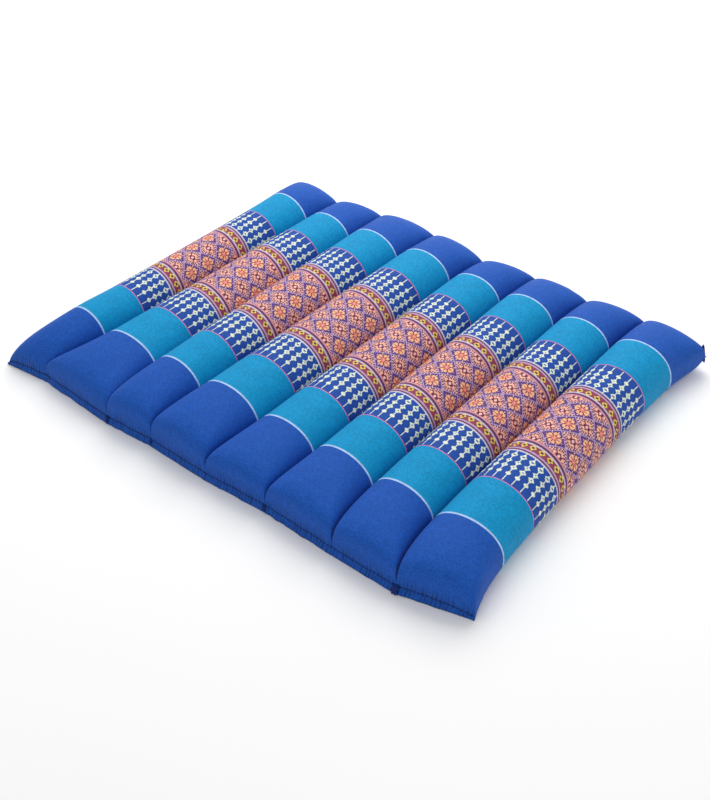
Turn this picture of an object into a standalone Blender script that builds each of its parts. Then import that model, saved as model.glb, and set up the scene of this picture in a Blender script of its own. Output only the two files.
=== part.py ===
"""A flat sitting cushion: eight filled channels side by side, closed at both ends by a sewn hem.

Metres, +Z up. X runs across the channels, Y along them. The cushion lies on its back on Z = 0,
with the centre of its outline over the origin.
"""

import math
from collections import namedtuple

import bmesh
import bpy

# Overall size. The seam lines below give the width
LENGTH = 0.600
SEAM_HEIGHT = 0.018
CLOTH_PAIR = 0.0024

# Closed ends. The two cloths are sewn together along the mouth, and their hem hangs from it,
# shorter towards the outer corners, over a share of the outer channels.
# The stretches are lengths over which the sewn lines, the side edges and the underside round down to the mouth
HEM_REACH = 0.004
HEM_DROP = 0.0076
CORNER_SHARE = 0.45
END_STRETCH = 0.110
SIDE_STRETCH = 0.040
UNDERSIDE_STRETCH = 0.030

# Powers of the curves, and the lengths over which the square sections of the ends become as round as the middle
END_TAPER = 1.6
UNDERSIDE_BLUNTNESS = 2.0
MIDDLE_SQUARENESS = 0.82
FRONT_ROUNDING = 0.110
BACK_ROUNDING = 0.070
FLARE_POWER = 6
SIDE_FLARE_POWER = 4

# How far the underside would reach below the floor if the floor did not flatten it
FLATTENED_DEPTH = 0.006

# The filling pushes each channel out to this angle, measured from its crown, before it meets the seam
SHOULDER_ANGLE = math.radians(72)

# Rows of faces. Those of an end lie closer together towards its mouth
FACES_PER_CHANNEL = 10
HEM_ROWS = 2
END_ROWS = 8
END_ROW_CROWDING = 1.6
MIDDLE_ROWS = 10

# Sewn lines from side to side, in millimetres. The first and last are the two side edges.
# middle: place across; lean: sideways drift towards the back;
# front and back: how far the line's two ends spread sideways where the hem is wider than the filled channels;
# front_in and back_in: how far the hem is drawn in there; back_lift: height of the mouth at the back;
# front_square and back_square: shape of the sections beside the line's two ends, where 1 is round and 0 is square
Seam = namedtuple("Seam", "middle lean front back front_in back_in back_lift front_square back_square")
SEAMS = (
    Seam(-346, -3, -27, -20, 0, -2, 16, 0.75, 0.60),
    Seam(-270, 7, -24, -9, 8, 13, 20, 0.22, 0.62),
    Seam(-179, -3, 6, -11, 1, -1, 20, 0.22, 0.62),
    Seam(-92, 5, 2, -4, 6, -4, 20, 0.22, 0.62),
    Seam(4, 1, -4, 5, 4, 14, 20, 0.22, 0.62),
    Seam(91, -2, -2, 5, 9, 2, 20, 0.22, 0.62),
    Seam(178, -2, 14, 7, 6, 8, 20, 0.22, 0.62),
    Seam(263, -2, 18, 9, 6, 2, 20, 0.22, 0.62),
    Seam(352, -2, 16, 16, 29, 21, 22, 0.60, 0.32),
)

# Channels from -X to +X, in millimetres. crown: height; front and back: the length over which each end rounds off;
# front_blunt and back_blunt: a higher power keeps the channel full for longer towards that mouth
Channel = namedtuple("Channel", "crown front back front_blunt back_blunt")
CHANNELS = (
    Channel(64, 118, 93, 2.4, 2.6),
    Channel(60, 145, 115, 4.8, 2.9),
    Channel(64, 145, 115, 6.5, 2.9),
    Channel(65, 145, 115, 7.5, 2.9),
    Channel(59, 145, 115, 7.5, 2.9),
    Channel(60, 145, 115, 7.5, 2.9),
    Channel(59, 145, 105, 7.5, 3.1),
    Channel(61, 145, 105, 7.0, 4.2),
)

BLUE = (0.030, 0.105, 0.430, 1.0)
MM = 0.001


def clear_scene():
    for item in list(bpy.data.objects):
        bpy.data.objects.remove(item, do_unlink=True)


def blue_cotton():
    material = bpy.data.materials.new("blue_cotton")
    material.use_nodes = True
    shader = material.node_tree.nodes["Principled BSDF"]
    shader.inputs["Base Color"].default_value = BLUE
    shader.inputs["Roughness"].default_value = 0.82
    shader.inputs["Metallic"].default_value = 0.0
    return material


def rounded_end(distance, reach, bluntness):
    """0 at the closed mouth and 1 from reach onwards, rising the more steeply at the mouth the blunter it is."""
    if distance >= reach:
        return 1.0
    left = 1.0 - max(distance, 0.0) / reach
    return (1.0 - left ** END_TAPER) ** (1.0 / bluntness)


def row_distances():
    """Distances from the hem's edge to each row, up to the middle of the cushion."""
    hem = [HEM_REACH * row / HEM_ROWS for row in range(HEM_ROWS)]
    end = [HEM_REACH + END_STRETCH * (row / END_ROWS) ** END_ROW_CROWDING for row in range(END_ROWS)]
    start = HEM_REACH + END_STRETCH
    half_rows = MIDDLE_ROWS // 2
    middle = [start + (LENGTH / 2 - start) * row / half_rows for row in range(half_rows + 1)]
    return hem + end + middle


def all_rows():
    """(distance from the nearer hem's edge, side), side being -1 at the front and 1 at the back."""
    half = row_distances()
    front = [(distance, -1) for distance in half]
    back = [(distance, 1) for distance in reversed(half[:-1])]
    return front + back


def is_side(place):
    """True on the two side edges, which have no channel beyond them."""
    return place in (0, len(SEAMS) - 1)


def flare(index, distance):
    """1 at the hem's edge, fading towards the middle of the cushion, more slowly at the two side edges."""
    power = SIDE_FLARE_POWER if is_side(index) else FLARE_POWER
    return (1.0 - distance / (LENGTH / 2)) ** power


def seam_place(index, distance, side):
    """Where a sewn line passes: (x, y) at a row."""
    seam = SEAMS[index]
    along = (LENGTH / 2 - distance) * side
    spread, drawn_in = (seam.back, seam.back_in) if side > 0 else (seam.front, seam.front_in)
    share = flare(index, distance)
    x = seam.middle + seam.lean * along / (LENGTH / 2) + spread * share
    y = along - side * drawn_in * MM * share
    return x * MM, y


def hem_level(place, distance, side):
    """Height of the middle of the hem's two cloths, which hang down from the mouth.

    place counts sewn lines and may lie between two.
    """
    left = min(int(place), len(SEAMS) - 2)
    share = place - left
    lift = SEAMS[left].back_lift * (1 - share) + SEAMS[left + 1].back_lift * share
    corner = min(place, len(CHANNELS) - place) / CORNER_SHARE
    drop = HEM_DROP * math.sqrt(min(max(corner, 0.0), 1.0))
    mouth = lift * MM if side > 0 else CLOTH_PAIR / 2 + drop
    return mouth - drop * (1.0 - min(distance / HEM_REACH, 1.0))


def seam_height(place, hem, distance):
    """Height of a sewn line, which rises from the hem slowly between two channels and quickly at a side edge."""
    left = min(int(place), len(SEAMS) - 2)
    heights = []
    for index in (left, left + 1):
        reach = SIDE_STRETCH if is_side(index) else END_STRETCH
        risen = rounded_end(distance - HEM_REACH, reach, 1.0)
        heights.append(hem + (SEAM_HEIGHT - hem) * risen)
    share = place - left
    return heights[0] * (1 - share) + heights[1] * share


def filling(channel, distance, side):
    """How far the channel is filled at this distance from the hem: 0 at its mouth, 1 along its middle."""
    ends = CHANNELS[channel]
    reach, bluntness = (ends.back, ends.back_blunt) if side > 0 else (ends.front, ends.front_blunt)
    return rounded_end(distance - HEM_REACH, reach * MM, bluntness)


def squareness(channel, angle, distance, side):
    """Power that shapes a section: 1 is an ellipse, and less is squarer, as where two channels press together."""
    seam = SEAMS[channel] if angle < 0 else SEAMS[channel + 1]
    end, stretch = (seam.back_square, BACK_ROUNDING) if side > 0 else (seam.front_square, FRONT_ROUNDING)
    return end + (MIDDLE_SQUARENESS - end) * min(distance / stretch, 1.0)


def section_point(channel, angle, distance, side):
    """x and y of the point at this angle round the channel, 0 at its crown."""
    left = seam_place(channel, distance, side)
    right = seam_place(channel + 1, distance, side)
    share = (1 + math.sin(angle)) / 2
    return [a + (b - a) * share for a, b in zip(left, right)] + [channel + share]


def top_point(channel, angle, distance, side):
    """A point of the upper cloth."""
    x, y, place = section_point(channel, angle, distance, side)
    hem = hem_level(place, distance, side)
    fill = filling(channel, distance, side)
    seam = seam_height(place, hem, distance)
    crown = hem + (CHANNELS[channel].crown * MM - hem) * fill
    power = squareness(channel, angle, distance, side)
    rise = (crown - seam - CLOTH_PAIR / 2 * fill) * math.cos(angle) ** power
    return x, y, seam + CLOTH_PAIR / 2 + rise


def bottom_point(channel, angle, distance, side):
    """A point of the lower cloth, flattened where it lies on the floor."""
    x, y, place = section_point(channel, angle, distance, side)
    hem = hem_level(place, distance, side)
    seam = seam_height(place, hem, distance) - CLOTH_PAIR / 2
    touch = rounded_end(distance - HEM_REACH, UNDERSIDE_STRETCH, UNDERSIDE_BLUNTNESS)
    lowest = (hem - CLOTH_PAIR / 2) * (1 - touch)
    power = squareness(channel, angle, distance, side)
    hanging = seam - (seam - lowest + FLATTENED_DEPTH * touch) * math.cos(angle) ** power
    return x, y, max(hanging, lowest)


def place_on_column(column, distance, side, point):
    """Turns a grid column into a channel and an angle, with the sewn lines shared by two channels."""
    channel, step = divmod(column, FACES_PER_CHANNEL)
    if channel == len(CHANNELS):
        channel, step = channel - 1, FACES_PER_CHANNEL
    if step in (0, FACES_PER_CHANNEL):
        angle = math.copysign(math.pi / 2, step - 1)
    else:
        angle = SHOULDER_ANGLE * (2 * step / FACES_PER_CHANNEL - 1)
        angle *= FACES_PER_CHANNEL / (FACES_PER_CHANNEL - 2)
    return point(channel, angle, distance, side)


def add_panel(mesh, point):
    """One cloth of the cushion: a grid whose columns and rows are placed on the filled form."""
    rows = all_rows()
    columns = FACES_PER_CHANNEL * len(CHANNELS)
    made = bmesh.ops.create_grid(mesh, x_segments=columns, y_segments=len(rows) - 1, size=0.5)
    for vert in made["verts"]:
        column = round((vert.co.x + 0.5) * columns)
        row = round((vert.co.y + 0.5) * (len(rows) - 1))
        vert.co = place_on_column(column, *rows[row], point)
    return made["verts"]


def open_edges(verts):
    return {edge for vert in verts for edge in vert.link_edges if edge.is_boundary}


def cushion_mesh():
    mesh = bmesh.new()
    top = add_panel(mesh, top_point)
    bottom = add_panel(mesh, bottom_point)
    rim = open_edges(top) | open_edges(bottom)
    bmesh.ops.bridge_loops(mesh, edges=list(rim))
    bmesh.ops.recalc_face_normals(mesh, faces=mesh.faces)
    xs = [vert.co.x for vert in mesh.verts]
    ys = [vert.co.y for vert in mesh.verts]
    centre = ((min(xs) + max(xs)) / 2, (min(ys) + max(ys)) / 2, 0.0)
    bmesh.ops.translate(mesh, verts=mesh.verts, vec=[-part for part in centre])
    return mesh


def build_cushion():
    shape = cushion_mesh()
    data = bpy.data.meshes.new("cushion")
    shape.to_mesh(data)
    shape.free()
    data.shade_smooth()
    data.materials.append(blue_cotton())
    cushion = bpy.data.objects.new("cushion", data)
    bpy.context.scene.collection.objects.link(cushion)
    return cushion


clear_scene()
build_cushion()
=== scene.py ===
"""A flat sitting cushion of eight filled channels, dressed in banded woven cotton.

Metres, +Z up. X runs across the channels and Y along them. The cushion lies on its back on Z = 0.
"""

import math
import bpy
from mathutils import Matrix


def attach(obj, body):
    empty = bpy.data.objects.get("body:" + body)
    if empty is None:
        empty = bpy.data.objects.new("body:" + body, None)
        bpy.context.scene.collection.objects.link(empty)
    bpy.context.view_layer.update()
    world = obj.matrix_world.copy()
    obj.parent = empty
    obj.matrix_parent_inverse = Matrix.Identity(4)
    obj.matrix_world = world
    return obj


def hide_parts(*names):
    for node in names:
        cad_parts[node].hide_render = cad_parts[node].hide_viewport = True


bl_info = {
    "name": "Flat channel cushion",
    "version": (1, 0, 0),
    "blender": (4, 5, 0),
    "location": "3D View > Sidebar > Cushion",
    "description": "Makes the cover, the sewing and the stage of a flat eight-channel cushion",
    "category": "Add Mesh",
}

from bisect import bisect_left
from collections import namedtuple
from functools import reduce

import bmesh
import bpy
from bpy.props import FloatProperty, FloatVectorProperty, IntProperty, PointerProperty
from mathutils import Matrix, Vector, noise
from mathutils.bvhtree import BVHTree

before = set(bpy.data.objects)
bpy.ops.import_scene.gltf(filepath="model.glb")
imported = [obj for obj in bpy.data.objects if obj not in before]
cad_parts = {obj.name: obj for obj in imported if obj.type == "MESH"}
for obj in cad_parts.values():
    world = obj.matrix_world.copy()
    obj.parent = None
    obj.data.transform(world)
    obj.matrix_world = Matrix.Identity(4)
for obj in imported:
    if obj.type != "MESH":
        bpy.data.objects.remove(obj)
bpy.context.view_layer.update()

NODE = "cushion"
BODY = "root"
MM = 0.001

# The same sewn form as the part's solid, in metres
LENGTH = 0.600
SEAM_HEIGHT = 0.018
CLOTH_PAIR = 0.0024
HEM_REACH = 0.004
HEM_DROP = 0.0076
CORNER_SHARE = 0.45
END_STRETCH = 0.110
SIDE_STRETCH = 0.040
UNDERSIDE_STRETCH = 0.030
END_TAPER = 1.6
UNDERSIDE_BLUNTNESS = 2.0
MIDDLE_SQUARENESS = 0.82
FRONT_ROUNDING = 0.110
BACK_ROUNDING = 0.070
FLARE_POWER = 6
SIDE_FLARE_POWER = 4
FLATTENED_DEPTH = 0.006

# Sewn lines from side to side, in millimetres. The first and last are the two side edges.
# middle: place across; lean: sideways drift towards the back;
# front and back: how far the line's two ends spread sideways, as the hem is wider than the filled channels;
# front_in and back_in: how far the hem is drawn in there; back_lift: height of the mouth at the back;
# front_square and back_square: shape of the sections beside the line's two ends, 1 being round and 0 square
Seam = namedtuple("Seam", "middle lean front back front_in back_in back_lift front_square back_square")
SEAMS = (
    Seam(-346, -3, -27, -20, 0, -2, 16, 0.75, 0.60),
    Seam(-270, 7, -24, -9, 8, 13, 20, 0.22, 0.62),
    Seam(-179, -3, 6, -11, 1, -1, 20, 0.22, 0.62),
    Seam(-92, 5, 2, -4, 6, -4, 20, 0.22, 0.62),
    Seam(4, 1, -4, 5, 4, 14, 20, 0.22, 0.62),
    Seam(91, -2, -2, 5, 9, 2, 20, 0.22, 0.62),
    Seam(178, -2, 14, 7, 6, 8, 20, 0.22, 0.62),
    Seam(263, -2, 18, 9, 6, 2, 20, 0.22, 0.62),
    Seam(352, -2, 16, 16, 29, 21, 22, 0.60, 0.32),
)

# Channels from -X to +X, in millimetres.
# crown: height; front and back: the length over which each end rounds off;
# front_blunt and back_blunt: a higher power keeps the channel full for longer towards that mouth;
# star: place of a column of woven stars, measured over the cloth from the crown;
# slip: how far its bands lie forward
Channel = namedtuple("Channel", "crown front back front_blunt back_blunt star slip")
CHANNELS = (
    Channel(64, 118, 93, 2.4, 2.6, 33, 0),
    Channel(60, 145, 115, 4.8, 2.9, 12, 0),
    Channel(64, 145, 115, 6.5, 2.9, 28, 1),
    Channel(65, 145, 115, 7.5, 2.9, 8, 0),
    Channel(59, 145, 115, 7.5, 2.9, 18, 0),
    Channel(60, 145, 115, 7.5, 2.9, 5, 0),
    Channel(59, 145, 105, 7.5, 3.1, 21, 0),
    Channel(61, 145, 105, 7.0, 4.2, 7, 0),
)

# Bands of the cloth, in millimetres from the middle of its length: (where each starts, its colour)
FIELD_END = 51.3
STRIPES_END = 74.2
VINES_START = 76.7
VINES_END = 130.3
BANDS_END = 320.0
BANDS = (
    (0.0, "coral"), (FIELD_END, "lavender"), (53.5, "plum"), (56.3, "pale_stripe"), (59.0, "maroon"),
    (69.2, "lavender"), (71.4, "plum"), (STRIPES_END, "pale_stripe"), (VINES_START, "vine_ground"),
    (VINES_END, "pink"), (132.3, "turquoise"), (199.0, "ice"), (201.3, "royal"))

# Woven repeats, in millimetres
STAR_REPEAT = 37.5
STAR_LENGTH = 32.5
COLUMN_REPEAT = STAR_REPEAT / 3
COLUMN_OFFSET = 3.0
STITCH = 1.25
THREAD_STEP = 1.0
TWILL = 1.6
TWILL_SHADE = 0.22

# The centre field's lattice: rings from the middle of a star to the next small diamond, 2 * LATTICE away,
# as (where each starts, its colour). Two rows of checks lie between the three values of CHECKS
LATTICE = 16.0
CHECKS = (17.2, 20.2, 22.4)
CHECK_PITCH = 5.0
DARK_CHECK = 0.48
RINGS = (
    (0.0, "night"), (12.8, "navy"), (14.8, "mauve"), (15.3, "lavender"), (16.6, "navy"),
    (CHECKS[0], "rose"), (CHECKS[2], "plum"), (23.2, "peach"), (27.0, "plum"), (29.4, "rose"))

# Parts of a motif, in millimetres: (centre, half size) of each oval, diamond or box.
# The slanted ones are (half width, start, end)
SIDE_PETAL = (5.6, 2.3), (4.4, 2.3)
UPRIGHT_PETAL = (2.5, 5.4), (1.8, 4.5)
INNER_PETALS = 7.0
SLITS = ((0.0, 7.0), (0.6, 4.0)), ((7.0, 0.0), (3.0, 0.6))
SLANTED_SLIT = (1.1, 2.4, STAR_REPEAT)
STRIP = (0.0, 0.0), (1.4, 2.2)
TICKS = ((0.0, 9.6), (0.7, 2.5)), ((10.0, 0.0), (1.9, 0.7))
SLANTED_TICK = (0.7, 6.2, 8.9)
YELLOW_DIAMOND = (0.0, 63.8), (4.7, 5.2)
DIAMOND_HEART = (0.0, 63.8), (1.3, 1.6)

# Parts of a vine, outwards from the inner edge of its band
VINE_RING = (0.0, 8.2), (4.6, 5.6)
RING_HOLE = (0.0, 8.2), (1.3, 1.1)
FLOWERS = (20.0, 29.4)
UPRIGHT_LEAVES = (1.9, 4.3)
SIDE_LEAVES = (4.0, 2.2)
FLOWER_EYE = (0.7, 1.1)
EYE_INWARD = 0.6
BUD = (0.0, 40.7), (2.9, 2.9)
STEM_HALF = 0.7
STEMS = ((-1.0, 3.2), (13.5, 16.5), (24.0, 26.0), (33.0, 60.0))

# Finish of the cloth, with some painted shade. Frequencies are per metre; heights, pitches of threads and
# SEWN_HALF in millimetres
THREAD_PITCH = 0.9
SEWING_PITCH = 0.5
LOT_SIZE = (1.8 * MM, 1.3 * MM, 1.0)
LOT_LEAST = 0.82
LOT_SPREAD = 0.32
# THREAD_SHADE is painted shade: the colour is darker where the threads dip between each other
THREAD_SHADE = 0.05
TONE_LEAST = 0.90
TONE_SPREAD = 0.2
TONE_FREQUENCY = 45.0
GATHERS_END = 0.028
GATHER_STRETCH = (1.0, 0.16, 1.0)
GATHER_PITCH = 0.0042
GATHER_DRIFT = 9.0
DRIFT_FREQUENCY = 70.0
GATHER_WAVES = 0.12
RIDGE_FREQUENCY = 300.0
RIDGE_LEAST = 0.2
RIDGE_SPREAD = 0.6
# Painted shade in the valleys of the gathered ends: VALLEY_SHADE darkens the colour there
VALLEY_LEVEL = 0.5
VALLEY_SOFTNESS = 0.14
VALLEY_SHADE = 0.45
# Painted shade along the hem's sewn line: SEWN_SHADE darkens the colour within SEWN_HALF of it
SEWN_HALF = 2.2
SEWN_SHADE = 0.35
SOFT_FREQUENCY = 28.0
THREAD_HEIGHT = 0.14
RAISED_HEIGHT = 0.22
CREASE_HEIGHT = 3.6
SEWN_DEPTH = 1.6
SOFT_HEIGHT = 2.0
LEAST_ROUGHNESS = 0.62
THREAD_ROUGHNESS = 0.14

# Stage
KEY_SIZE = 1.6
KEY_PLACE = (-0.6, 1.05, 1.55)
FILL_SIZE = 1.2
FILL_PLACE = (1.4, -1.3, 1.1)
FLOOR_HALF = 6.0
FLOOR_TONE = 0.985
FLOOR_SPREAD = 0.015
FLOOR_FREQUENCY = 3.0


def linear(red, green, blue):
    """A linear colour from the usual 0 to 255 values of a screen."""
    parts = [value / 255 for value in (red, green, blue)]
    parts = [part / 12.92 if part <= 0.04045 else ((part + 0.055) / 1.055) ** 2.4 for part in parts]
    return (*parts, 1.0)


def tint(name, description, red, green, blue):
    return FloatVectorProperty(
        name=name, description=description, subtype="COLOR", size=4, min=0.0, max=1.0,
        default=linear(red, green, blue))


def amount(name, description, default, **kind):
    return FloatProperty(name=name, description=description, default=default, **kind)


def metres(name, description, default, low, high):
    return amount(name, description, default, min=low, max=high, subtype="DISTANCE", unit="LENGTH")


class CushionCover(bpy.types.PropertyGroup):
    """Sizes of the cover's mesh and filling."""

    columns: IntProperty(
        name="Faces per channel", description="Faces across one channel before the last smoothing",
        default=20, min=8, max=40)
    row_step: metres("Row step", "Length of cloth between two rows of faces", 0.0060, 0.003, 0.02)
    gather_height: metres(
        "Gather height", "How high the small folds of the closed ends stand", 0.0010, 0.0, 0.003)
    pressure: amount(
        "Filling pressure", "Pressure of the filling in the cloth simulation", 4.0, min=0.0, max=20.0)
    stiffness: amount(
        "Cloth stiffness", "How much the cloth resists stretching in the simulation", 12.0,
        min=1.0, max=100.0)
    movement: metres(
        "Largest movement", "The most that a point of the cloth may move as it fills", 0.005, 0.0, 0.03)


class CushionSewing(bpy.types.PropertyGroup):
    """Sizes of the stitches."""

    stitch: metres("Stitch length", "Length of one stitch", 0.0034, 0.001, 0.01)
    gap: metres("Gap", "Cloth between two stitches", 0.0016, 0.0005, 0.01)
    thread: metres("Thread radius", "Half the thickness of the sewing thread", 0.00045, 0.0002, 0.001)
    tuck: metres(
        "Tuck length", "Length of the cloth folded in where two channels meet at the hem", 0.010, 0.004, 0.02)


class ClothColours(bpy.types.PropertyGroup):
    """Colours of the woven cloth and of the thread."""

    royal: tint("Royal blue", "Ends and underside", 25, 83, 175)
    turquoise: tint("Turquoise", "Broad plain bands", 0, 143, 196)
    ice: tint("Ice blue", "Thin line between the two plain bands", 175, 203, 240)
    pink: tint("Pink", "Thin line outside the vines", 210, 118, 165)
    vine_ground: tint("Vine ground", "Ground of the vines", 32, 76, 162)
    cream: tint("Cream", "Vines", 226, 235, 214)
    lavender: tint("Lavender", "Stripes and lattice", 190, 165, 198)
    pale_stripe: tint("Pale stripe", "Stripes beside the vines and the diamonds", 200, 196, 222)
    plum: tint("Plum", "Thin dark stripes", 104, 40, 76)
    maroon: tint("Maroon", "Ground of the yellow diamonds", 142, 54, 70)
    yellow: tint("Yellow", "Small diamonds", 228, 205, 92)
    coral: tint("Coral", "Inner petals and strips of the stars", 240, 148, 126)
    peach: tint("Peach", "Rings round the small diamonds", 248, 182, 156)
    orange: tint("Orange", "Petals of the stars", 251, 188, 140)
    rose: tint("Rose", "Light stitches of the centre field", 244, 192, 190)
    mauve: tint("Mauve", "Lattice lines", 158, 112, 168)
    navy: tint("Navy", "Frames of the stars", 76, 62, 140)
    night: tint("Night", "Ground behind the stars", 110, 66, 112)
    thread: tint("Thread", "Sewing thread", 16, 30, 84)
    # Painted shade: fold is the royal blue darkened, for folded cloth that lies in shade
    fold: tint("Fold", "Folded cloth of the hem, which lies in its own shade", 16, 46, 116)


class StageSettings(bpy.types.PropertyGroup):
    """Camera, lights and floor."""

    azimuth: amount(
        "Azimuth", "Direction of the camera round the cushion",
        math.radians(38.92), subtype="ANGLE", unit="ROTATION")
    elevation: amount(
        "Elevation", "Height of the camera above the horizon",
        math.radians(39.06), subtype="ANGLE", unit="ROTATION")
    distance: amount(
        "Distance", "Distance of the camera from the point it looks at",
        1.4456, min=0.2, subtype="DISTANCE", unit="LENGTH")
    lens: amount("Lens", "Focal length of the camera, in millimetres", 50.22, min=10.0)
    look_at: FloatVectorProperty(
        name="Look at", description="The point that the camera looks at",
        default=(0.0436, -0.0667, 0.0), size=3, subtype="XYZ", unit="LENGTH")
    sky: amount("Room light", "Strength of the even light of the room", 0.64)
    key: amount(
        "Key light", "Power of the large lamp above the cushion", 31.0, subtype="POWER", unit="POWER")
    fill: amount(
        "Fill light", "Power of the weaker lamp near the camera", 1.5, subtype="POWER", unit="POWER")
    floor: tint("Floor", "Plain pale floor", 253, 253, 253)


# Form of the filled channels

def rounded_end(distance, reach, bluntness):
    """0 at the closed mouth and 1 from reach onwards, rising more steeply at the mouth the blunter it is."""
    if distance >= reach:
        return 1.0
    left = 1.0 - max(distance, 0.0) / reach
    return (1.0 - left ** END_TAPER) ** (1.0 / bluntness)


def is_side(place):
    """True on the two side edges, which have no channel beyond them."""
    return place in (0, len(SEAMS) - 1)


def seam_place(index, distance, side):
    """Where a sewn line passes: (x, y) at a row."""
    seam = SEAMS[index]
    along = (LENGTH / 2 - distance) * side
    spread, drawn_in = (seam.back, seam.back_in) if side > 0 else (seam.front, seam.front_in)
    power = SIDE_FLARE_POWER if is_side(index) else FLARE_POWER
    share = (1.0 - distance / (LENGTH / 2)) ** power
    x = seam.middle + seam.lean * along / (LENGTH / 2) + spread * share
    return x * MM, along - side * drawn_in * MM * share


def hem_level(place, distance, side):
    """Height of the middle of the hem's two cloths, which hang down from the mouth.

    place counts sewn lines and may lie between two.
    """
    left = min(int(place), len(SEAMS) - 2)
    share = place - left
    lift = SEAMS[left].back_lift * (1 - share) + SEAMS[left + 1].back_lift * share
    corner = min(place, len(CHANNELS) - place) / CORNER_SHARE
    drop = HEM_DROP * math.sqrt(min(max(corner, 0.0), 1.0))
    mouth = lift * MM if side > 0 else CLOTH_PAIR / 2 + drop
    return mouth - drop * (1.0 - min(distance / HEM_REACH, 1.0))


def seam_height(place, hem, distance):
    """Height of a sewn line, which rises from the hem slowly between channels and quickly at a side edge."""
    left = min(int(place), len(SEAMS) - 2)
    heights = []
    for index in (left, left + 1):
        reach = SIDE_STRETCH if is_side(index) else END_STRETCH
        risen = rounded_end(distance - HEM_REACH, reach, 1.0)
        heights.append(hem + (SEAM_HEIGHT - hem) * risen)
    share = place - left
    return heights[0] * (1 - share) + heights[1] * share


def filling(channel, distance, side):
    """How far the channel is filled at this distance from the hem: 0 at its mouth, 1 along its middle."""
    ends = CHANNELS[channel]
    reach, bluntness = (ends.back, ends.back_blunt) if side > 0 else (ends.front, ends.front_blunt)
    return rounded_end(distance - HEM_REACH, reach * MM, bluntness)


def squareness(channel, angle, distance, side):
    """Power that shapes a section: 1 is an ellipse, and less is squarer, as where two channels press."""
    seam = SEAMS[channel] if angle < 0 else SEAMS[channel + 1]
    end, stretch = (seam.back_square, BACK_ROUNDING) if side > 0 else (seam.front_square, FRONT_ROUNDING)
    return end + (MIDDLE_SQUARENESS - end) * min(distance / stretch, 1.0)


def section_point(channel, angle, distance, side):
    """The point at this angle round a channel, 0 at its crown: x, y, heights of the hem and of the sewn
    line, and the share of the full rise.
    """
    left = seam_place(channel, distance, side)
    right = seam_place(channel + 1, distance, side)
    share = (1 + math.sin(angle)) / 2
    x, y = [a + (b - a) * share for a, b in zip(left, right)]
    hem = hem_level(channel + share, distance, side)
    rise = max(math.cos(angle), 0.0) ** squareness(channel, angle, distance, side)
    return x, y, hem, seam_height(channel + share, hem, distance), rise


def top_point(channel, angle, distance, side):
    """A point of the upper cloth."""
    x, y, hem, seam, rise = section_point(channel, angle, distance, side)
    fill = filling(channel, distance, side)
    crown = hem + (CHANNELS[channel].crown * MM - hem) * fill
    return Vector((x, y, seam + CLOTH_PAIR / 2 + (crown - seam - CLOTH_PAIR / 2 * fill) * rise))


def bottom_point(channel, angle, distance, side):
    """A point of the lower cloth, flattened where it lies on the floor."""
    x, y, hem, seam, rise = section_point(channel, angle, distance, side)
    seam -= CLOTH_PAIR / 2
    touch = rounded_end(distance - HEM_REACH, UNDERSIDE_STRETCH, UNDERSIDE_BLUNTNESS)
    lowest = (hem - CLOTH_PAIR / 2) * (1 - touch)
    depth = (seam - lowest + FLATTENED_DEPTH * touch) * rise
    return Vector((x, y, max(seam - depth, lowest)))


# Rows and columns of the cover

HEM_ROWS = 4
PROFILE_STEPS = 4000
PROFILE_CROWDING = 3
HEM_CLOTH = math.hypot(HEM_REACH, HEM_DROP)


def end_distances(side, step):
    """Distances from the hem's edge to each row of one half, evenly spaced over a middle channel's cloth."""
    channel = len(CHANNELS) // 2
    rows = [HEM_REACH * row / HEM_ROWS for row in range(HEM_ROWS)]
    travelled = step
    last = None
    for number in range(PROFILE_STEPS + 1):
        share = (number / PROFILE_STEPS) ** PROFILE_CROWDING
        distance = HEM_REACH + (LENGTH / 2 - HEM_REACH) * share
        point = top_point(channel, 0.0, distance, side)
        if last is not None:
            travelled += (point - last).length
        last = point
        if travelled >= step:
            rows.append(distance)
            travelled -= step
    while LENGTH / 2 - rows[-1] < (rows[-1] - rows[-2]) / 2:
        rows.pop()
    return rows


def cover_rows(step):
    """(distance from the nearer hem's edge, side) of every row, side being -1 in front and 1 at the back."""
    front = [(distance, -1) for distance in end_distances(-1, step)]
    back = [(distance, 1) for distance in reversed(end_distances(1, step))]
    return front + [(LENGTH / 2, -1)] + back


def angle_at(step, faces):
    return math.pi * (step / faces - 0.5)


def running_lengths(points, start):
    """Lengths along a line of points, counted from the start and negative before it."""
    lengths = [0.0]
    for first, second in zip(points, points[1:]):
        lengths.append(lengths[-1] + (second - first).length)
    return [length - lengths[start] for length in lengths]


def crown_lengths(rows):
    """For each channel, the length of cloth along its crown from the middle to each row, by row."""
    middle = max(range(len(rows)), key=lambda number: rows[number][0])
    crowns = [[top_point(channel, 0.0, *row) for row in rows] for channel in range(len(CHANNELS))]
    return [dict(zip(rows, running_lengths(crown, middle))) for crown in crowns]


def section_lengths(channel, row, faces, point):
    """Length of cloth across a channel from its crown to each column, negative to the left.

    Under the cushion it goes on from the outer side of the channel.
    """
    angles = [angle_at(step, faces) for step in range(faces + 1)]
    above = running_lengths([top_point(channel, angle, *row) for angle in angles], faces // 2)
    if point is top_point:
        return above
    under = running_lengths([bottom_point(channel, angle, *row) for angle in angles], 0)
    if channel < len(CHANNELS) / 2:
        return [above[0] - length for length in under]
    return [above[-1] + under[-1] - length for length in under]


BAND_TILT = 0.08
TILT_FADES = 0.140


def cloth_place(channel, across, along):
    """Place of a point on the woven cloth, in metres: (from the nearest column of stars, from the middle)."""
    style = CHANNELS[channel]
    tilt = BAND_TILT * max(0.0, 1.0 - (along / TILT_FADES) ** 2)
    return across - style.star * MM, along + tilt * across + style.slip * MM


FOLD_ROWS = 5
FOLD_FREQUENCY = 95.0
FOLD_PLACE = 9.1
VARIETY_FREQUENCY = 22.0
VARIETY_PLACE = 3.7
MIDDLE_FOLD = 0.7


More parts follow.
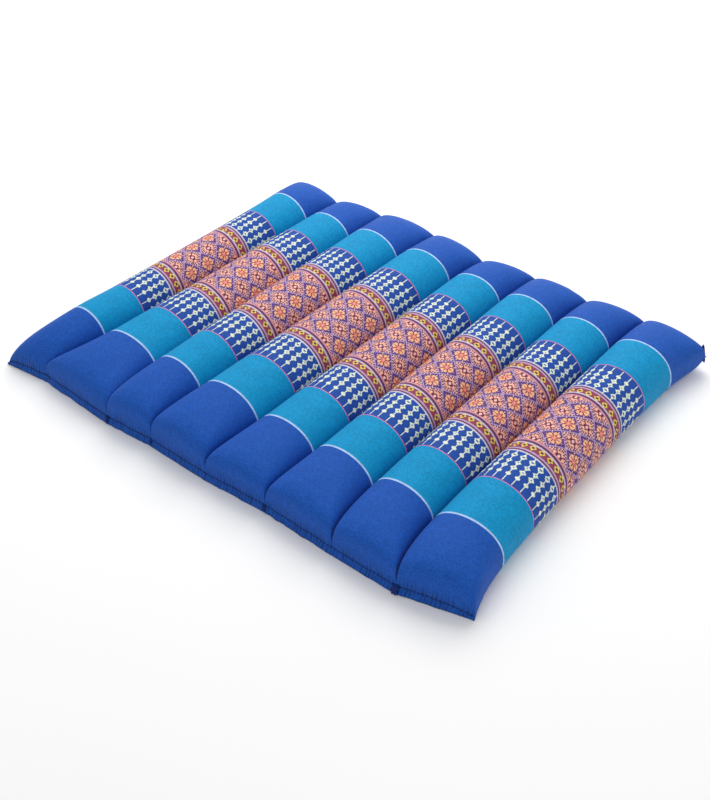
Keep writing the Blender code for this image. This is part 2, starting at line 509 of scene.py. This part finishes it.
def gather_folds(x, row, height):
    """How far the small upright folds of a closed end stand out, fading away above the hem's stitching."""
    fade = min(1.0, 1.0 - (row - HEM_ROWS) / FOLD_ROWS)
    if fade <= 0.0:
        return 0.0
    uneven = noise.noise(Vector((x * VARIETY_FREQUENCY, VARIETY_PLACE, 0.0)))
    folds = noise.noise(Vector((x * FOLD_FREQUENCY + uneven, FOLD_PLACE, 0.0)))
    return height * 2 * folds * fade * (MIDDLE_FOLD + uneven)


def add_cloth(mesh, rows, lengths, faces, point, gather):
    """One cloth of the cushion: a grid whose columns and rows are placed on the filled form.

    The lengths are those of the crowns, by row. The grid carries the cloth's own coordinates in one map,
    and in the other the place across and the length of cloth from the hem's edge.
    """
    columns = faces * len(CHANNELS)
    last = len(rows) - 1
    made = bmesh.ops.create_grid(mesh, x_segments=columns, y_segments=last, size=0.5)
    places = {}
    for vert in made["verts"]:
        column = round((vert.co.x + 0.5) * columns)
        row = round((vert.co.y + 0.5) * last)
        channel = min(column // faces, len(CHANNELS) - 1)
        distance, side = rows[row]
        vert.co = point(channel, angle_at(column - channel * faces, faces), distance, side)
        vert.co.y += side * gather_folds(vert.co.x, min(row, last - row), gather)
        places[vert] = column, row
    along = [[crown[row] for row in rows] for crown in lengths]
    across = [
        [section_lengths(channel, row, faces, point) for row in rows]
        for channel in range(len(CHANNELS))]
    cloth = mesh.loops.layers.uv["cloth"]
    hem = mesh.loops.layers.uv["hem"]
    for face in {face for vert in made["verts"] for face in vert.link_faces}:
        channel = min(places[vert][0] for vert in face.verts) // faces
        for loop in face.loops:
            column, row = places[loop.vert]
            length = across[channel][row][column - channel * faces]
            loop[cloth].uv = cloth_place(channel, length, along[channel][row])
            end = along[channel][0] if row < last / 2 else along[channel][-1]
            loop[hem].uv = loop.vert.co.x, abs(end - along[channel][row])
    return made["verts"], places


def open_edges(verts):
    return {edge for vert in verts for edge in vert.link_edges if edge.is_boundary}


UNDERSIDE_ROWS = 5
WALL_GAP = 0.0004


def channel_walls(places, rows, faces, centre):
    """The two planes between which each vertex stays where its channel presses on the next ones."""
    walls = {}
    for vert, (column, row) in places.items():
        channel, step = divmod(column, faces)
        distance, side = rows[row]
        if step == 0 or distance <= HEM_REACH:
            continue
        left = seam_place(channel, distance, side)[0] - centre[0] + WALL_GAP
        right = seam_place(channel + 1, distance, side)[0] - centre[0] - WALL_GAP
        walls[vert] = (
            -math.inf if is_side(channel) else left, math.inf if is_side(channel + 1) else right)
    return walls


def cover_mesh(settings):
    """The closed skin of the cushion, the walls of each free vertex, and the shift that centres it."""
    mesh = bmesh.new()
    mesh.loops.layers.uv.new("cloth")
    mesh.loops.layers.uv.new("hem")
    rows = cover_rows(settings.row_step)
    faces = settings.columns
    lengths = crown_lengths(rows)
    top, places = add_cloth(mesh, rows, lengths, faces, top_point, settings.gather_height)
    last = len(rows) - 1
    near = HEM_ROWS + UNDERSIDE_ROWS
    thinned = [row for number, row in enumerate(rows)
               if min(number, last - number) <= near or number % UNDERSIDE_ROWS == 0]
    bottom, _ = add_cloth(mesh, thinned, lengths, faces, bottom_point, settings.gather_height)
    rim = open_edges(top) | open_edges(bottom)
    joined = bmesh.ops.bridge_loops(mesh, edges=list(rim))
    for face in joined["faces"]:
        for loop in face.loops:
            beside = next(other for other in loop.vert.link_loops if other.face not in joined["faces"])
            for layer in mesh.loops.layers.uv.values():
                loop[layer].uv = beside[layer].uv
    bmesh.ops.recalc_face_normals(mesh, faces=mesh.faces)
    if mesh.calc_volume(signed=True) < 0.0:
        bmesh.ops.reverse_faces(mesh, faces=mesh.faces)
    xs = [vert.co.x for vert in mesh.verts]
    ys = [vert.co.y for vert in mesh.verts]
    centre = Vector(((min(xs) + max(xs)) / 2, (min(ys) + max(ys)) / 2, 0.0))
    bmesh.ops.translate(mesh, verts=mesh.verts, vec=-centre)
    walls = channel_walls(places, rows, faces, centre)
    return mesh, [walls.get(vert) for vert in mesh.verts], centre


FILLING_FRAMES = 20
CLOTH_STEPS = 5
CLOTH_MASS = 0.2
CLOTH_BENDING = 0.2


def fill_cover(cover, walls, settings):
    """Presses the free cloth outwards from inside, with the sewn lines, the hems and the underside held."""
    held = cover.vertex_groups.new(name="held")
    held.add([number for number, wall in enumerate(walls) if wall is None], 1.0, "REPLACE")
    modifier = cover.modifiers.new("filling", "CLOTH")
    cloth = modifier.settings
    cloth.quality = CLOTH_STEPS
    cloth.mass = CLOTH_MASS
    cloth.tension_stiffness = settings.stiffness
    cloth.compression_stiffness = settings.stiffness
    cloth.shear_stiffness = settings.stiffness / 2
    cloth.bending_stiffness = CLOTH_BENDING
    cloth.vertex_group_mass = held.name
    cloth.use_pressure = True
    cloth.uniform_pressure_force = settings.pressure
    cloth.effector_weights.gravity = 0.0
    modifier.collision_settings.use_collision = False
    modifier.point_cache.frame_start = 1
    modifier.point_cache.frame_end = FILLING_FRAMES
    scene = bpy.context.scene
    for number in range(1, FILLING_FRAMES + 1):
        scene.frame_set(number)
    filled = cover.evaluated_get(bpy.context.evaluated_depsgraph_get()).data
    moved = [vert.co.copy() for vert in filled.vertices]
    cover.modifiers.remove(modifier)
    cover.vertex_groups.remove(held)
    scene.frame_set(1)
    for vert, place, wall in zip(cover.data.vertices, moved, walls):
        if wall is None:
            continue
        step = place - vert.co
        if step.length > settings.movement:
            step *= settings.movement / step.length
        place = vert.co + step
        place.x = min(max(place.x, wall[0]), wall[1])
        vert.co = place
    cover.data.update()


# Sewing

STITCH_SIDES = 6
STITCH_RINGS = 4
STITCH_LIFT = 0.4

# Tucks of the front hem: (sewn line, share of the full tuck), and the turn of each fold from upright
TUCKED_SEAMS = ((2, 1.1), (3, 0.7), (5, 0.9), (7, 1.5))
TUCK_FOLDS = (-0.9, -0.3, 0.25, 0.8)
TUCK_LIFT = 0.05
TUCK_WIDTH = 0.14

# Folds at the back right corner: (sideways and upwards from the corner in millimetres, height in metres)
EAR_FOLDS = ((-7.4, 0.7, 0.022), (-5.6, 1.6, 0.027), (-4.0, 2.0, 0.030))
EAR_LEAN = Vector((-0.25, 0.0, 1.0))
EAR_THICKNESS = 0.0020


def cover_surface(context):
    """The finished cover's surface and the shift that centres it."""
    cover = bpy.data.objects.get("cushion_cover")
    if cover is None:
        raise RuntimeError("the sewing needs the cover")
    return BVHTree.FromObject(cover, context.evaluated_depsgraph_get()), Vector(cover["centre"])


def point_along(points, lengths, length):
    number = min(max(bisect_left(lengths, length), 1), len(points) - 1)
    span = lengths[number] - lengths[number - 1]
    return points[number - 1].lerp(points[number], (length - lengths[number - 1]) / span)


def add_oval(mesh, middle, along, normal, half_length, radius):
    """A slim oval body lying on the cloth."""
    along = (along - normal * along.dot(normal)).normalized()
    turn = Matrix((along.cross(normal), normal, along)).transposed().to_4x4()
    size = Matrix.Diagonal((radius, radius, half_length, 1.0))
    bmesh.ops.create_uvsphere(
        mesh, u_segments=STITCH_SIDES, v_segments=STITCH_RINGS, radius=1.0,
        matrix=Matrix.Translation(middle) @ turn @ size)


def add_stitches(mesh, surface, points, sewing):
    """Adds a row of running stitches on the cloth nearest to a line of points.

    It is built by itself and then added, which is much faster than growing the whole mesh stitch by stitch.
    """
    line = bmesh.new()
    lengths = running_lengths(points, 0)
    start = sewing.gap
    while start + sewing.stitch < lengths[-1]:
        first = point_along(points, lengths, start)
        last = point_along(points, lengths, start + sewing.stitch)
        middle, normal, _, _ = surface.find_nearest((first + last) / 2)
        raised = middle + normal * sewing.thread * STITCH_LIFT
        add_oval(line, raised, last - first, normal, sewing.stitch / 2, sewing.thread)
        start += sewing.stitch + sewing.gap
    data = bpy.data.meshes.new("line")
    line.to_mesh(data)
    line.free()
    mesh.from_mesh(data)
    bpy.data.meshes.remove(data)


def hem_lines(faces):
    """The sewn lines across both closed ends, over and under the cushion."""
    for side in (-1, 1):
        for point in (top_point, bottom_point):
            yield [point(channel, angle_at(step, faces), HEM_REACH, side)
                   for channel in range(len(CHANNELS)) for step in range(faces)]


def channel_lines(step):
    """The sewn lines between the channels, over and under the cushion."""
    rows = [row for row in cover_rows(step) if row[0] > HEM_REACH]
    for index in range(1, len(CHANNELS)):
        for point in (top_point, bottom_point):
            yield [point(index, -math.pi / 2, *row) for row in rows]


# Materials

class Draft:
    """Adds nodes to a tree and links them as they are made."""

    def __init__(self, tree):
        self.tree = tree

    def put(self, kind, **settings):
        node = self.tree.nodes.new(kind)
        for name, value in settings.items():
            setattr(node, name, value)
        return node

    def feed(self, socket, value):
        if isinstance(value, bpy.types.NodeSocket):
            self.tree.links.new(value, socket)
        else:
            socket.default_value = value

    def maths(self, operation, *values):
        node = self.put("ShaderNodeMath", operation=operation)
        for socket, value in zip(node.inputs, values):
            self.feed(socket, value)
        return node.outputs[0]

    def add(self, first, second):
        return self.maths("ADD", first, second)

    def less(self, first, second):
        return self.maths("SUBTRACT", first, second)

    def times(self, first, second):
        return self.maths("MULTIPLY", first, second)

    def divide(self, first, second):
        return self.maths("DIVIDE", first, second)

    def below(self, first, second):
        return self.maths("LESS_THAN", first, second)

    def above(self, first, second):
        return self.maths("GREATER_THAN", first, second)

    def size(self, value):
        return self.maths("ABSOLUTE", value)

    def clamped(self, value):
        return self.maths("MINIMUM", self.maths("MAXIMUM", value, 0.0), 1.0)

    def parts(self, vector):
        node = self.put("ShaderNodeSeparateXYZ")
        self.feed(node.inputs[0], vector)
        return node.outputs

    def every(self, *masks):
        return reduce(self.times, masks)

    def any(self, *masks):
        return reduce(lambda first, second: self.maths("MAXIMUM", first, second), masks)

    def paint(self, mask, under, over):
        """over where the mask is 1, and under where it is 0."""
        node = self.put("ShaderNodeMix", data_type="RGBA")
        self.feed(node.inputs["Factor"], mask)
        self.feed(node.inputs[6], under)
        self.feed(node.inputs[7], over)
        return node.outputs[2]

    def shade(self, colour, value):
        """The colour times a value."""
        node = self.put("ShaderNodeMix", data_type="RGBA", blend_type="MULTIPLY")
        node.inputs["Factor"].default_value = 1.0
        self.feed(node.inputs[6], colour)
        self.feed(node.inputs[7], value)
        return node.outputs[2]

    def stepped(self, value, stops, colours, whole):
        """A colour that changes in steps: stops are (from where, name of the colour), out of the whole."""
        node = self.put("ShaderNodeValToRGB")
        ramp = node.color_ramp
        ramp.interpolation = "CONSTANT"
        ramp.elements.remove(ramp.elements[1])
        for start, name in stops:
            element = ramp.elements.new(start / whole) if start > 0.0 else ramp.elements[0]
            element.color = getattr(colours, name)
        self.feed(node.inputs[0], self.divide(value, whole))
        return node.outputs["Color"]

    def noise(self, place, scale, detail=2.0):
        node = self.put("ShaderNodeTexNoise")
        self.feed(node.inputs["Vector"], place)
        node.inputs["Scale"].default_value = scale
        node.inputs["Detail"].default_value = detail
        return node.outputs["Fac"]


def new_group(name, inputs, outputs):
    """A node group with the named sockets: (draft, input sockets, output sockets)."""
    tree = bpy.data.node_groups.new(name, "ShaderNodeTree")
    for title, kind in inputs:
        tree.interface.new_socket(title, in_out="INPUT", socket_type="NodeSocket" + kind)
    for title, kind in outputs:
        tree.interface.new_socket(title, in_out="OUTPUT", socket_type="NodeSocket" + kind)
    start = tree.nodes.new("NodeGroupInput")
    end = tree.nodes.new("NodeGroupOutput")
    return Draft(tree), start.outputs, end.inputs


def counted(draft, value, repeat, step):
    """Whole steps, in millimetres, from the nearest middle of a repeat."""
    turned = draft.maths("WRAP", value, repeat / 2, -repeat / 2)
    number = draft.maths("FLOOR", draft.add(draft.divide(draft.size(turned), step), 0.5))
    return draft.times(number, step)


def offset(draft, x, y, centre, half):
    """The two distances from a centre, in half sizes."""
    across = draft.divide(draft.size(draft.less(x, centre[0])), half[0])
    along = draft.divide(draft.size(draft.less(y, centre[1])), half[1])
    return across, along


def oval(draft, x, y, centre, half):
    """1 inside an oval of these half sizes."""
    across, along = offset(draft, x, y, centre, half)
    return draft.below(draft.add(draft.times(across, across), draft.times(along, along)), 1.0)


def lozenge(draft, x, y, centre, half):
    """1 inside a diamond of these half sizes."""
    across, along = offset(draft, x, y, centre, half)
    return draft.below(draft.add(across, along), 1.0)


def box(draft, x, y, centre, half):
    """1 inside a rectangle of these half sizes."""
    across, along = offset(draft, x, y, centre, half)
    return draft.below(draft.any(across, along), 1.0)


def slanted(draft, x, y, half, start, end):
    """1 on a strip that runs outwards at a slant."""
    near = draft.below(draft.size(draft.less(x, y)), half)
    return draft.every(near, draft.above(x, start), draft.below(x, end))


def centre_field(draft, across, along, colours):
    """Colour of the centre field: stars and small diamonds in a lattice."""
    fine_x = draft.times(counted(draft, across, STAR_REPEAT, STITCH / 2), 2 * LATTICE / STAR_REPEAT)
    fine_y = draft.times(counted(draft, along, STAR_LENGTH, STITCH / 2), 2 * LATTICE / STAR_LENGTH)
    ring = draft.add(fine_x, fine_y)
    ground = draft.stepped(ring, RINGS, colours, 2 * LATTICE)
    slide = draft.divide(draft.less(fine_x, fine_y), CHECK_PITCH)
    for number, shift in enumerate((0.0, 0.5)):
        row = draft.every(draft.above(ring, CHECKS[number]), draft.below(ring, CHECKS[number + 1]))
        dark = draft.below(draft.maths("FRACT", draft.add(slide, shift)), DARK_CHECK)
        ground = draft.paint(draft.every(row, dark), ground, colours.plum)
    return star(draft, across, along, ground, colours)


def star(draft, across, along, ground, colours):
    """Four pairs of petals round a small strip, with a pale tick beyond each pair."""
    x = counted(draft, across, STAR_REPEAT, STITCH)
    y = counted(draft, along, STAR_LENGTH, THREAD_STEP)
    inner = draft.below(draft.add(x, y), INNER_PETALS)
    petals = draft.paint(inner, colours.orange, colours.coral)
    both = draft.any(oval(draft, x, y, *SIDE_PETAL), oval(draft, x, y, *UPRIGHT_PETAL))
    ground = draft.paint(both, ground, petals)
    slits = [box(draft, x, y, *slit) for slit in SLITS]
    ground = draft.paint(draft.any(*slits, slanted(draft, x, y, *SLANTED_SLIT)), ground, colours.plum)
    ground = draft.paint(box(draft, x, y, *STRIP), ground, colours.coral)
    ticks = [box(draft, x, y, *tick) for tick in TICKS]
    return draft.paint(draft.any(*ticks, slanted(draft, x, y, *SLANTED_TICK)), ground, colours.rose)


def vines(draft, x, outward):
    """1 on the cream vines. outward counts millimetres from the inner edge of their band."""
    steps = draft.maths("FLOOR", draft.divide(outward, THREAD_STEP))
    y = draft.times(draft.add(steps, 0.5), THREAD_STEP)
    hole = box(draft, x, y, *RING_HOLE)
    shapes = [draft.every(lozenge(draft, x, y, *VINE_RING), draft.less(1.0, hole))]
    for middle in FLOWERS:
        inward = (0.0, middle - EYE_INWARD)
        leaves = draft.any(
            oval(draft, x, y, (0.0, middle), UPRIGHT_LEAVES),
            oval(draft, x, y, inward, SIDE_LEAVES))
        eye = box(draft, x, y, inward, FLOWER_EYE)
        shapes.append(draft.every(leaves, draft.less(1.0, eye)))
    shapes.append(oval(draft, x, y, *BUD))
    thin = draft.below(x, STEM_HALF)
    for start, end in STEMS:
        shapes.append(draft.every(thin, draft.above(y, start), draft.below(y, end)))
    return draft.any(*shapes)


def banded_group(colours):
    """Colour and raised threads of the banded cloth, from its own coordinates in metres."""
    draft, inputs, outputs = new_group(
        "banded_weave", [("Cloth", "Vector")], [("Colour", "Color"), ("Raised", "Float")])
    parts = draft.parts(inputs["Cloth"])
    across = draft.times(parts[0], 1 / MM)
    along = draft.times(parts[1], 1 / MM)
    out = draft.size(along)
    bands = draft.stepped(out, BANDS, colours, BANDS_END)
    slope = draft.add(across, out)
    dashes = draft.above(draft.maths("FRACT", draft.divide(slope, TWILL)), 0.5)
    striped = draft.every(draft.above(out, FIELD_END), draft.below(out, STRIPES_END))
    bands = draft.paint(draft.times(draft.every(dashes, striped), TWILL_SHADE), bands, colours.mauve)
    field = draft.below(out, FIELD_END)
    bands = draft.paint(field, bands, centre_field(draft, across, along, colours))
    columns = counted(draft, draft.less(across, COLUMN_OFFSET), COLUMN_REPEAT, STITCH)
    small = lozenge(draft, columns, out, *YELLOW_DIAMOND)
    bands = draft.paint(small, bands, colours.yellow)
    bands = draft.paint(box(draft, columns, out, *DIAMOND_HEART), bands, colours.plum)
    in_vines = draft.every(draft.above(out, VINES_START), draft.below(out, VINES_END))
    vine = draft.every(in_vines, vines(draft, columns, draft.less(out, VINES_START)))
    bands = draft.paint(vine, bands, colours.cream)
    draft.feed(outputs["Colour"], bands)
    draft.feed(outputs["Raised"], draft.any(field, small, vine))
    return draft.tree


def thread_group():
    """Round crossing threads: a height, and the specks of the thread lots with a faint painted shade between
    the threads, from a cloth's coordinates in metres.
    """
    draft, inputs, outputs = new_group(
        "crossing_threads", [("Cloth", "Vector"), ("Pitch", "Float")],
        [("Height", "Float"), ("Shade", "Float")])
    parts = draft.parts(inputs["Cloth"])
    turns = draft.divide(math.pi / MM, inputs["Pitch"])
    warp = draft.maths("SINE", draft.times(parts[0], turns))
    weft = draft.maths("SINE", draft.times(parts[1], turns))
    over = draft.times(warp, weft)
    draft.feed(outputs["Height"], draft.add(draft.times(over, 0.5), 0.5))
    cells = draft.put("ShaderNodeVectorMath", operation="SNAP")
    draft.feed(cells.inputs[0], inputs["Cloth"])
    cells.inputs[1].default_value = LOT_SIZE
    speck = draft.put("ShaderNodeTexWhiteNoise")
    speck.noise_dimensions = "3D"
    draft.feed(speck.inputs["Vector"], cells.outputs[0])
    lots = draft.add(LOT_LEAST, draft.times(speck.outputs["Value"], LOT_SPREAD))
    # Specks of the thread lots, with painted shade that darkens the low places between the threads
    draft.feed(outputs["Shade"], draft.add(lots, draft.times(over, THREAD_SHADE)))
    return draft.tree


def place_group(draft, tree, place):
    node = draft.put("ShaderNodeGroup")
    node.node_tree = tree
    draft.feed(node.inputs[0], place)
    return node


def place_threads(draft, place, pitch):
    """Adds the group of crossing threads with this pitch."""
    weave = place_group(draft, bpy.data.node_groups.get("crossing_threads") or thread_group(), place)
    weave.inputs["Pitch"].default_value = pitch
    return weave.outputs


def new_material(name):
    material = bpy.data.materials.new(name)
    material.use_nodes = True
    return material, Draft(material.node_tree), material.node_tree.nodes["Principled BSDF"]


def emboss(draft, shader, height, strength, distance):
    """Turns a height into small relief of the surface."""
    bump = draft.put("ShaderNodeBump")
    bump.inputs["Strength"].default_value = strength
    bump.inputs["Distance"].default_value = distance
    draft.feed(bump.inputs["Height"], height)
    draft.feed(shader.inputs["Normal"], bump.outputs[0])


def gathers(draft, hem):
    """The ridges of the gathered ends, and how near the hem's sewn line is: 1 on it and 0 far away."""
    parts = draft.parts(hem)
    near = draft.divide(draft.less(GATHERS_END, parts[1]), GATHERS_END - HEM_CLOTH)
    stretched = draft.put("ShaderNodeMapping")
    stretched.inputs["Scale"].default_value = GATHER_STRETCH
    draft.feed(stretched.inputs["Vector"], hem)
    drift = draft.times(draft.noise(stretched.outputs[0], DRIFT_FREQUENCY, detail=1.0), GATHER_DRIFT)
    waves = draft.maths("SINE", draft.add(draft.times(parts[0], 2 * math.pi / GATHER_PITCH), drift))
    ridges = draft.times(draft.noise(stretched.outputs[0], RIDGE_FREQUENCY, detail=1.0), RIDGE_SPREAD)
    ridges = draft.add(draft.add(RIDGE_LEAST, ridges), draft.times(waves, GATHER_WAVES))
    return ridges, draft.clamped(near)


def cloth_material(colours):
    """Smooth woven cotton with bands, brocade and the small creases of the closed ends, with painted shade in
    the creases' valleys and along the hem's sewn line.
    """
    material, draft, shader = new_material("woven_cotton")
    cloth = draft.put("ShaderNodeUVMap", uv_map="cloth").outputs[0]
    hem = draft.put("ShaderNodeUVMap", uv_map="hem").outputs[0]
    bands = place_group(draft, banded_group(colours), cloth).outputs
    weave = place_threads(draft, cloth, THREAD_PITCH)
    ridges, near = gathers(draft, hem)
    sewn = draft.size(draft.less(draft.parts(hem)[1], HEM_CLOTH))
    sewn = draft.clamped(draft.less(1.0, draft.divide(sewn, SEWN_HALF * MM)))
    height = draft.times(weave["Height"], THREAD_HEIGHT)
    height = draft.add(height, draft.times(bands["Raised"], RAISED_HEIGHT))
    height = draft.add(height, draft.times(draft.times(ridges, near), CREASE_HEIGHT))
    height = draft.less(height, draft.times(sewn, SEWN_DEPTH))
    height = draft.add(height, draft.times(draft.noise(cloth, SOFT_FREQUENCY), SOFT_HEIGHT))
    # Painted shade: the colour is darkened in the valleys between the ridges of the gathers
    valley = draft.clamped(draft.divide(draft.less(VALLEY_LEVEL, ridges), VALLEY_SOFTNESS))
    valley = draft.times(draft.times(valley, near), VALLEY_SHADE)
    # dark is painted shade from the gathers' valleys and the hem's sewn line; through tone it darkens the
    # cloth's colour
    dark = draft.any(valley, draft.times(sewn, SEWN_SHADE))
    tone = draft.times(draft.noise(cloth, TONE_FREQUENCY, detail=3.0), TONE_SPREAD)
    tone = draft.times(draft.add(TONE_LEAST, tone), draft.less(1.0, dark))
    colour = draft.shade(bands["Colour"], draft.times(weave["Shade"], tone))
    draft.feed(shader.inputs["Base Color"], colour)
    emboss(draft, shader, height, strength=0.6, distance=MM)
    rough = draft.add(LEAST_ROUGHNESS, draft.times(weave["Height"], THREAD_ROUGHNESS))
    draft.feed(shader.inputs["Roughness"], rough)
    shader.inputs["Sheen Weight"].default_value = 0.05
    shader.inputs["Sheen Roughness"].default_value = 0.45
    shader.inputs["Specular IOR Level"].default_value = 0.14
    return material


def plain_material(name, colour, pitch):
    """Crossing or twisted threads of one colour."""
    material, draft, shader = new_material(name)
    place = draft.put("ShaderNodeTexCoord").outputs["Object"]
    weave = place_threads(draft, place, pitch)
    # The colour carries the specks of the thread lots and the painted shade between the threads
    draft.feed(shader.inputs["Base Color"], draft.shade(colour, weave["Shade"]))
    emboss(draft, shader, weave["Height"], strength=0.5, distance=0.2 * MM)
    shader.inputs["Roughness"].default_value = 0.7
    shader.inputs["Specular IOR Level"].default_value = 0.2
    return material


def sewing_thread(colours):
    made = bpy.data.materials.get("sewing_thread")
    return made or plain_material("sewing_thread", colours.thread, SEWING_PITCH)


def new_piece(name, mesh, material):
    """Links a finished mesh of one material into the scene."""
    data = bpy.data.meshes.new(name)
    mesh.to_mesh(data)
    mesh.free()
    data.shade_smooth()
    data.materials.append(material)
    piece = bpy.data.objects.new(name, data)
    bpy.context.scene.collection.objects.link(piece)
    return piece


def finish_piece(piece):
    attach(piece, BODY)


def sew(context, name, lines):
    """Makes one piece of stitches along the lines."""
    surface, centre = cover_surface(context)
    mesh = bmesh.new()
    for line in lines:
        add_stitches(mesh, surface, [point - centre for point in line], context.scene.cushion_sewing)
    finish_piece(new_piece(name, mesh, sewing_thread(context.scene.cushion_colours)))


class CUSHION_OT_cover(bpy.types.Operator):
    """Makes the filled cover of the cushion"""

    bl_idname = "cushion.cover"
    bl_label = "Filled cover"

    def execute(self, context):
        settings = context.scene.cushion_cover
        colours = context.scene.cushion_colours
        mesh, walls, centre = cover_mesh(settings)
        if not mesh.faces:
            raise RuntimeError("the cover has no faces")
        cover = new_piece("cushion_cover", mesh, cloth_material(colours))
        fill_cover(cover, walls, settings)
        cover["centre"] = centre
        smooth = cover.modifiers.new("smoothing", "SUBSURF")
        smooth.levels = 1
        smooth.render_levels = 1
        smooth.uv_smooth = "NONE"
        finish_piece(cover)
        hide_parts(NODE)
        return {"FINISHED"}


class CUSHION_OT_hem_stitches(bpy.types.Operator):
    """Sews the two cloths together along both closed ends"""

    bl_idname = "cushion.hem_stitches"
    bl_label = "Hem stitches"

    def execute(self, context):
        sew(context, "hem_stitches", hem_lines(context.scene.cushion_cover.columns))
        return {"FINISHED"}


class CUSHION_OT_channel_stitches(bpy.types.Operator):
    """Sews the lines between the channels"""

    bl_idname = "cushion.channel_stitches"
    bl_label = "Channel stitches"

    def execute(self, context):
        sew(context, "channel_stitches", channel_lines(context.scene.cushion_cover.row_step))
        return {"FINISHED"}


class CUSHION_OT_tucks(bpy.types.Operator):
    """Makes the small bunches of cloth at the front hem, where two channels meet, and at one back corner"""

    bl_idname = "cushion.tucks"
    bl_label = "Hem tucks"

    def execute(self, context):
        surface, centre = cover_surface(context)
        length = context.scene.cushion_sewing.tuck
        mesh = bmesh.new()
        for index, share in TUCKED_SEAMS:
            mouth = top_point(index, -math.pi / 2, HEM_REACH / 2, -1) - centre
            middle, normal, _, _ = surface.find_nearest(mouth)
            down = Vector((0.0, 0.0, -1.0))
            for number, turn in enumerate(TUCK_FOLDS):
                along = Matrix.Rotation(turn, 3, normal) @ down
                lift = middle + normal * length * TUCK_LIFT * (1 + number % 2)
                add_oval(mesh, lift, along, normal, length * share / 2, length * share * TUCK_WIDTH)
        corner = top_point(len(CHANNELS) - 1, math.pi / 2, 0.0, 1) - centre
        middle = surface.find_nearest(corner)[0]
        for aside, up, height in EAR_FOLDS:
            raised = middle + Vector((aside, 0.0, up)) * MM
            add_oval(mesh, raised, EAR_LEAN, EAR_LEAN.orthogonal().normalized(), height / 2, EAR_THICKNESS)
        # The tucks and the corner folds are bunches of cloth, coloured in painted shade: fold is the royal
        # blue darkened
        folded = plain_material("folded_hem", context.scene.cushion_colours.fold, THREAD_PITCH)
        finish_piece(new_piece("hem_tucks", mesh, folded))
        return {"FINISHED"}


class CUSHION_OT_stage(bpy.types.Operator):
    """Makes the floor, the lights and the camera"""

    bl_idname = "cushion.stage"
    bl_label = "Floor, lights and camera"

    def execute(self, context):
        scene = context.scene
        stage = scene.cushion_stage
        self.floor(stage)
        self.lights(scene, stage)
        self.camera(scene, stage)
        scene.view_settings.view_transform = "Standard"
        return {"FINISHED"}

    def floor(self, stage):
        mesh = bmesh.new()
        bmesh.ops.create_grid(mesh, x_segments=1, y_segments=1, size=FLOOR_HALF)
        material, draft, shader = new_material("pale_floor")
        place = draft.put("ShaderNodeTexCoord").outputs["Object"]
        tone = draft.add(FLOOR_TONE, draft.times(draft.noise(place, FLOOR_FREQUENCY), FLOOR_SPREAD))
        draft.feed(shader.inputs["Base Color"], draft.shade(stage.floor, tone))
        shader.inputs["Roughness"].default_value = 0.9
        floor = new_piece("floor", mesh, material)

    def lights(self, scene, stage):
        world = scene.world or bpy.data.worlds.new("room")
        scene.world = world
        world.use_nodes = True
        background = world.node_tree.nodes["Background"]
        background.inputs["Color"].default_value = (1.0, 1.0, 1.0, 1.0)
        background.inputs["Strength"].default_value = stage.sky
        self.lamp(scene, "key_light", stage.key, KEY_SIZE, KEY_PLACE)
        self.lamp(scene, "fill_light", stage.fill, FILL_SIZE, FILL_PLACE)

    def lamp(self, scene, name, power, size, place):
        light = bpy.data.lights.new(name, "AREA")
        light.energy = power
        light.size = size
        lamp = bpy.data.objects.new(name, light)
        lamp.location = place
        lamp.rotation_euler = Vector(place).to_track_quat("Z", "Y").to_euler()
        scene.collection.objects.link(lamp)

    def camera(self, scene, stage):
        azimuth, elevation = stage.azimuth, stage.elevation
        back = Vector((
            math.sin(azimuth) * math.cos(elevation),
            -math.cos(azimuth) * math.cos(elevation),
            math.sin(elevation)))
        data = bpy.data.cameras.new("camera")
        data.lens = stage.lens
        data.sensor_width = 36.0
        camera = bpy.data.objects.new("camera", data)
        camera.location = Vector(stage.look_at) + back * stage.distance
        camera.rotation_euler = back.to_track_quat("Z", "Y").to_euler()
        scene.collection.objects.link(camera)
        scene.camera = camera


class CUSHION_PT_panel(bpy.types.Panel):
    """Lists the steps and their sizes and colours"""

    bl_label = "Flat channel cushion"
    bl_idname = "CUSHION_PT_panel"
    bl_space_type = "VIEW_3D"
    bl_region_type = "UI"
    bl_category = "Cushion"

    def draw(self, context):
        layout = self.layout
        for operator in OPERATORS:
            layout.operator(operator.bl_idname)
        for name in SETTINGS:
            group = getattr(context.scene, name)
            box = layout.box()
            for title in group.__annotations__:
                box.prop(group, title)


SETTINGS = {
    "cushion_cover": CushionCover,
    "cushion_sewing": CushionSewing,
    "cushion_colours": ClothColours,
    "cushion_stage": StageSettings,
}
OPERATORS = (
    CUSHION_OT_cover,
    CUSHION_OT_hem_stitches,
    CUSHION_OT_channel_stitches,
    CUSHION_OT_tucks,
    CUSHION_OT_stage,
)
CLASSES = (*SETTINGS.values(), *OPERATORS, CUSHION_PT_panel)


def register():
    for item in CLASSES:
        bpy.utils.register_class(item)
    for name, group in SETTINGS.items():
        setattr(bpy.types.Scene, name, PointerProperty(type=group))


def unregister():
    for name in SETTINGS:
        delattr(bpy.types.Scene, name)
    for item in reversed(CLASSES):
        bpy.utils.unregister_class(item)


def main():
    register()
    bpy.ops.cushion.cover()
    bpy.ops.cushion.hem_stitches()
    bpy.ops.cushion.channel_stitches()
    bpy.ops.cushion.tucks()
    bpy.ops.cushion.stage()


if __name__ == "__main__":
    main()
